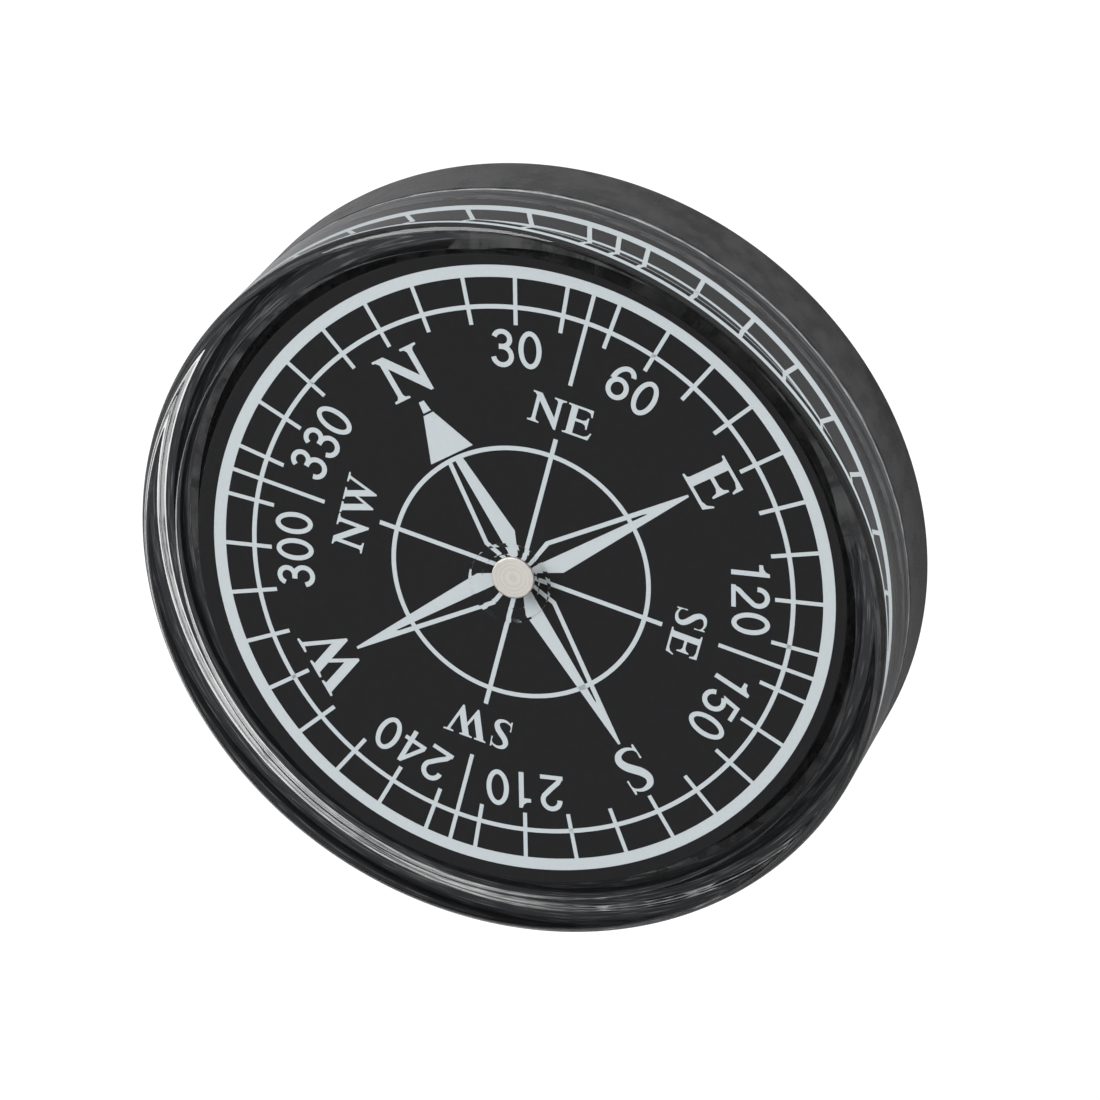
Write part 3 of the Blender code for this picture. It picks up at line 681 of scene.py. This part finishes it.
filled_half = [(0.0, 0.0), (WAIST_HALF, WAIST_OUT), (ARM_TIP_HALF, ARM_TIP), (0.0, ARM_TIP)]
open_half = [(0.0, 0.0), (0.0, ARM_TIP), (-ARM_TIP_HALF, ARM_TIP), (-WAIST_HALF, WAIST_OUT)]
opening = [(-0.0005, ARM_OPEN_FROM), (-0.0005, ARM_OPEN_TO),
           (ROSE_LINE - arm_half(ARM_OPEN_TO), ARM_OPEN_TO - 0.01),
           (ROSE_LINE - WAIST_HALF, WAIST_OUT + 0.004)]
rose = [[circle(ROSE_RADIUS + ROSE_LINE / 2), circle(ROSE_RADIUS - ROSE_LINE / 2)]]
for bearing in (45, 135, 225, 315):
    rose.append(placed([bar(0.0, ROSE_RAY_END, ROSE_LINE)], bearing))
for bearing in (90, 180, 270):
    rose.append(placed([filled_half], bearing))
    rose.append(placed([open_half, opening], bearing))
north_half = arm_half(NORTH_ARM_END)
rose.append([[(0.0, 0.0), (WAIST_HALF, WAIST_OUT), (north_half, NORTH_ARM_END), (0.0, NORTH_ARM_END)]])
rose.append([[(0.0, 0.0), (0.0, ARM_OPEN_FROM), (ROSE_LINE - WAIST_HALF, WAIST_OUT + 0.004),
              (ROSE_LINE - north_half, NORTH_ARM_END), (-north_half, NORTH_ARM_END),
              (-WAIST_HALF, WAIST_OUT)]])
rose.append([[(-0.078, 0.425), (0.078, 0.425), (0.018, 0.571), (-0.018, 0.571)]])
rose.append([[(-0.014, 0.578), (0.014, 0.578), (0.009, 0.615), (-0.009, 0.615)]])
printed("ink_rose", rose)

# Printed numerals: every thirty degrees between the letters, in a plain upright hand drawn with one width
# of stroke, their tops outward. Sizes are in heights of a numeral.
STROKE = 0.131
NUMERAL_HEIGHT = 0.122
NUMERAL_RADIUS = 0.733
NUMERAL_STEP = 0.72


def arc(centre, radii, start, end, steps=14):
    """Points along an ellipse from one angle to another, in degrees."""
    angles = [math.radians(start + (end - start) * step / steps) for step in range(steps + 1)]
    return [(centre[0] + radii[0] * math.cos(a), centre[1] + radii[1] * math.sin(a)) for a in angles]


def stroke(path, widths):
    """Outline of a pen stroke along a path, with one width or a width for each point."""
    if not hasattr(widths, "__len__"):
        widths = [widths] * len(path)
    points = [Vector(point) for point in path]
    left, right = [], []
    for index, point in enumerate(points):
        before = points[max(index - 1, 0)]
        after = points[min(index + 1, len(points) - 1)]
        along = (after - before).normalized()
        across = Vector((-along.y, along.x)) * widths[index] / 2
        left.append(tuple(point + across))
        right.append(tuple(point - across))
    return [left + right[::-1]]


def oval(centre, radii, width):
    """A closed loop of a pen stroke."""
    outer = arc(centre, (radii[0] + width / 2, radii[1] + width / 2), 0, 360, 40)[:-1]
    inner = arc(centre, (radii[0] - width / 2, radii[1] - width / 2), 0, 360, 40)[:-1]
    return [outer, inner]


numerals = {
    "0": [oval((0.0, 0.5), (0.235, 0.435), STROKE)],
    "1": [[[(0.02, 0.0), (0.15, 0.0), (0.15, 1.0), (0.06, 1.0), (0.02, 0.90), (-0.06, 0.84), (-0.17, 0.825),
            (-0.17, 0.725), (0.02, 0.725)]]],
    "2": [stroke(arc((0.0, 0.70), (0.225, 0.235), 185, -32) + [(0.0, 0.36), (-0.17, 0.19), (-0.225, 0.06)],
                 STROKE),
          [bar(0.0, 0.115, 0.60)]],
    "3": [stroke(arc((-0.01, 0.735), (0.205, 0.20), 165, -78) + [(-0.09, 0.535)], STROKE),
          stroke([(-0.09, 0.530)] + arc((0.0, 0.29), (0.235, 0.24), 84, -170), STROKE)],
    "4": [[[(0.07, 0.0), (0.195, 0.0), (0.195, 0.235), (0.31, 0.235), (0.31, 0.345), (0.195, 0.345),
            (0.195, 1.0), (0.095, 1.0), (-0.31, 0.365), (-0.31, 0.235), (0.07, 0.235)],
           [(0.07, 0.345), (-0.19, 0.345), (0.07, 0.77)]]],
    "5": [[[(-0.20, 0.98), (0.25, 0.98), (0.25, 0.865), (-0.10, 0.865), (-0.135, 0.60), (-0.25, 0.47),
            (-0.275, 0.47)]],
          stroke([(-0.20, 0.50)] + arc((-0.005, 0.32), (0.235, 0.255), 112, -165), STROKE)],
    "6": [oval((0.005, 0.315), (0.230, 0.25), STROKE),
          stroke(arc((0.06, 0.50), (0.29, 0.435), 180, 82, 10) + arc((0.045, 0.76), (0.185, 0.175), 80, 8, 8),
                 STROKE)],
}


def lettered(word, glyphs, widths, bearing, foot, size):
    """Shapes of a word, centred on a bearing with its foot at a radius."""
    shapes = []
    pen = -sum(widths[letter] for letter in word) / 2
    for letter in word:
        middle_of_letter = pen + widths[letter] / 2
        shapes += [placed(shape, bearing, foot, size, middle_of_letter) for shape in glyphs[letter]]
        pen += widths[letter]
    return shapes


numeral_widths = dict.fromkeys(numerals, NUMERAL_STEP)
numbers = []
for bearing in range(30, 360, 30):
    if bearing % 90:
        numbers += lettered(str(bearing), numerals, numeral_widths, bearing,
                            NUMERAL_RADIUS - NUMERAL_HEIGHT / 2, NUMERAL_HEIGHT)
printed("ink_numerals", numbers)

# Printed letters: the four quarters large and the points between them small, in a book hand with thick
# and thin strokes and bracketed feet. Sizes are in heights of a letter.
QUARTER_HEIGHT = 0.150
QUARTER_RADIUS = 0.715
BETWEEN_HEIGHT = 0.100
BETWEEN_RADIUS = 0.55


def centred(points, width):
    """Move an outline drawn from x = 0 so that it is centred."""
    return [[(x - width / 2, y) for x, y in points]]


letter_n = [(0.0, 0.0), (0.37, 0.0), (0.37, 0.045), (0.28, 0.065), (0.245, 0.13), (0.245, 0.735),
            (0.865, -0.035), (0.93, -0.035), (0.94, 0.87), (0.98, 0.935), (1.07, 0.955), (1.07, 1.0),
            (0.68, 1.0), (0.68, 0.955), (0.77, 0.935), (0.81, 0.87), (0.81, 0.34), (0.27, 1.0),
            (-0.01, 1.0), (-0.01, 0.955), (0.06, 0.94), (0.125, 0.87), (0.125, 0.13), (0.09, 0.065),
            (0.0, 0.045)]
letter_e = [(0.0, 0.0), (0.836, 0.0), (0.91, 0.25), (0.87, 0.25), (0.80, 0.13), (0.68, 0.075),
            (0.32, 0.075), (0.32, 0.485), (0.56, 0.485), (0.65, 0.44), (0.69, 0.32), (0.73, 0.32),
            (0.73, 0.71), (0.69, 0.71), (0.65, 0.62), (0.56, 0.575), (0.32, 0.575), (0.32, 0.925),
            (0.60, 0.925), (0.73, 0.88), (0.78, 0.76), (0.82, 0.76), (0.81, 1.0), (0.0, 1.0),
            (0.0, 0.955), (0.08, 0.94), (0.107, 0.89), (0.107, 0.11), (0.08, 0.06), (0.0, 0.045)]
letter_w = [(0.44, -0.02), (0.49, -0.02), (0.72, 0.531), (0.93, -0.02), (0.98, -0.02), (1.30, 0.93),
            (1.41, 0.955), (1.41, 1.0), (1.08, 1.0), (1.08, 0.955), (1.20, 0.93), (1.011, 0.346),
            (0.785, 0.93), (0.87, 0.955), (0.87, 1.0), (0.46, 1.0), (0.46, 0.955), (0.565, 0.93),
            (0.677, 0.643), (0.538, 0.31), (0.305, 0.93), (0.38, 0.955), (0.38, 1.0), (0.0, 1.0),
            (0.0, 0.955), (0.08, 0.93)]


def smooth(points, steps=6):
    """A curve through points, each with a width as its third value."""
    dense = []
    padded = [points[0]] + points + [points[-1]]
    for a, b, c, d in zip(padded, padded[1:], padded[2:], padded[3:]):
        for step in range(steps):
            t = step / steps
            dense.append(tuple(0.5 * (2 * q + (r - p) * t + (2 * p - 5 * q + 4 * r - s) * t * t
                                      + (3 * q - p - 3 * r + s) * t ** 3)
                               for p, q, r, s in zip(a, b, c, d)))
    return dense + [points[-1]]


upper_s = [(0.262, 0.30, 0.02), (0.20, 0.41, 0.05), (0.03, 0.468, 0.085), (-0.15, 0.41, 0.13),
           (-0.205, 0.27, 0.165), (-0.13, 0.12, 0.185)]
spine = smooth(upper_s + [(0.0, 0.0, 0.19)] + [(-x, -y, width) for x, y, width in reversed(upper_s)])
letter_s = stroke([(x, y + 0.5) for x, y, _ in spine], [width for _, _, width in spine])
top_beak = [[(0.243, 0.67), (0.285, 0.67), (0.262, 1.01), (0.225, 1.01), (0.20, 0.90), (0.245, 0.82)]]
foot_beak = [[(-x, 1.0 - y) for x, y in top_beak[0]]]
letters = {"N": [centred(letter_n, 1.06)], "E": [centred(letter_e, 0.91)], "W": [centred(letter_w, 1.41)],
           "S": [letter_s, top_beak, foot_beak]}
letter_widths = {"N": 1.13, "E": 1.00, "W": 1.45, "S": 0.80}
words = []
for bearing, word in ((0, "N"), (90, "E"), (180, "S"), (270, "W")):
    words += lettered(word, letters, letter_widths, bearing, QUARTER_RADIUS - QUARTER_HEIGHT / 2,
                      QUARTER_HEIGHT)
for bearing, word in ((45, "NE"), (135, "SE"), (225, "SW"), (315, "NW")):
    words += lettered(word, letters, letter_widths, bearing, BETWEEN_RADIUS - BETWEEN_HEIGHT / 2,
                      BETWEEN_HEIGHT)
printed("ink_letters", words)

# Jewel cap: turned brass, nickel plated. Its flat head, with fine turning marks and the pip that the tool
# leaves, shows at the card's centre, and its neck goes through the card.
CAP_SIDES = 128
CAP_RADIUS = 0.001275
CAP_TOP = 0.0009
CAP_THICKNESS = 0.00022
CAP_EDGE_ROUND = 0.00006
CAP_NECK_RADIUS = 0.00093
CAP_BORE_RADIUS = 0.0007
CAP_NECK_BOTTOM = 0.00237
CAP_BORE_TOP = 0.00046
PIP_RADIUS = 0.00008
PIP_DEPTH = 0.00006
TURNING_PITCH = 0.00015
nickel = finish("nickel_plate", (0.70, 0.66, 0.62), 0.38, metallic=1.0)
nickel_tree = nickel.node_tree
turning_place = nickel_tree.nodes.new("ShaderNodeTexCoord")
turning_lines = nickel_tree.nodes.new("ShaderNodeTexWave")
turning_lines.wave_type = "RINGS"
turning_lines.rings_direction = "SPHERICAL"
turning_lines.inputs["Scale"].default_value = math.tau / (20 * TURNING_PITCH)
turning_lines.inputs["Distortion"].default_value = 0.6
nickel_tree.links.new(turning_place.outputs["Object"], turning_lines.inputs["Vector"])
tint(nickel, turning_lines.outputs["Fac"], (0.67, 0.625, 0.59), (0.73, 0.69, 0.65))
roughen(nickel, spread(nickel, noise(nickel, 4000.0), 0.36, 0.44))
outline = [(0.0, CAP_TOP - PIP_DEPTH), (PIP_RADIUS, CAP_TOP)]
outline += rounded((CAP_RADIUS, CAP_TOP), (-1, 0), (0, -1), CAP_EDGE_ROUND, 5)
outline += [(CAP_RADIUS, CAP_TOP - CAP_THICKNESS), (CAP_NECK_RADIUS, CAP_TOP - CAP_THICKNESS),
            (CAP_NECK_RADIUS, -CAP_NECK_BOTTOM), (CAP_BORE_RADIUS, -CAP_NECK_BOTTOM),
            (CAP_BORE_RADIUS, CAP_BORE_TOP), (0.0, CAP_BORE_TOP)]
cap = lathe("nickel_cap", outline, [], [nickel], CAP_SIDES, Matrix.Identity(4))
cap.matrix_world = on_card
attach(cap, "card")
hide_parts("jewel_cap")

# Fittings inside and in the back, which keep their CAD shapes: brass turnings, steel, rubber, sapphire
# and moulded plastic, each with the marks of how it was made.


TURNING_SCALE = 600.0


def turned_metal(name, colour, roughness, lines=2500.0):
    """Bright metal with fine marks round it from turning."""
    material = finish(name, colour, roughness, metallic=1.0)
    marks = noise(material, TURNING_SCALE, 4.0, (0.2, 0.2, lines / TURNING_SCALE))
    roughen(material, spread(material, marks, roughness * 0.75, roughness * 1.4))
    tint(material, marks, tuple(0.86 * value for value in colour), colour)
    emboss(material, marks, 0.000003)
    return material


def moulded(name, dark, light, roughness, scale=1800.0):
    """Rubber or plastic with the fine texture of its mould."""
    material = finish(name, dark, roughness)
    pattern = noise(material, scale)
    tint(material, pattern, dark, light)
    roughen(material, spread(material, pattern, roughness * 0.8, min(1.0, roughness * 1.2)))
    emboss(material, pattern, 0.000008)
    return material


brass = turned_metal("brass", (0.66, 0.49, 0.22), 0.28)
needle_steel = turned_metal("needle_steel", (0.58, 0.58, 0.6), 0.16)
magnet_steel = turned_metal("magnet_steel", (0.27, 0.27, 0.28), 0.4, 600.0)
washer_steel = turned_metal("washer_steel", (0.6, 0.6, 0.62), 0.3)
seal_rubber = moulded("seal_rubber", (0.012, 0.012, 0.012), (0.03, 0.03, 0.03), 0.7)
diaphragm_rubber = moulded("diaphragm_rubber", (0.02, 0.02, 0.022), (0.045, 0.045, 0.05), 0.6)
plug_nylon = moulded("plug_nylon", (0.018, 0.018, 0.019), (0.04, 0.04, 0.042), 0.4, 900.0)
carrier_plastic = moulded("carrier_plastic", (0.03, 0.03, 0.032), (0.06, 0.06, 0.065), 0.5, 900.0)
sapphire = finish("sapphire", (0.86, 0.9, 0.96), 0.03, ior=1.76, transmission=1.0)
roughen(sapphire, spread(sapphire, noise(sapphire, 2500.0), 0.01, 0.06))
finishes = {
    "seal_ring": seal_rubber, "plug_seal": seal_rubber, "pivot_bush": brass, "diaphragm_ring": brass,
    "jewel_setting": brass, "balance_weight": brass, "pivot_needle": needle_steel,
    "expansion_diaphragm": diaphragm_rubber, "fill_plug": plug_nylon, "pivot_jewel": sapphire,
    "magnet_carrier": carrier_plastic, "magnet_east": magnet_steel, "magnet_west": magnet_steel,
    "cap_washer": washer_steel,
}
for node, material in finishes.items():
    mesh = nodes[node].data
    mesh.materials.clear()
    mesh.materials.append(material)
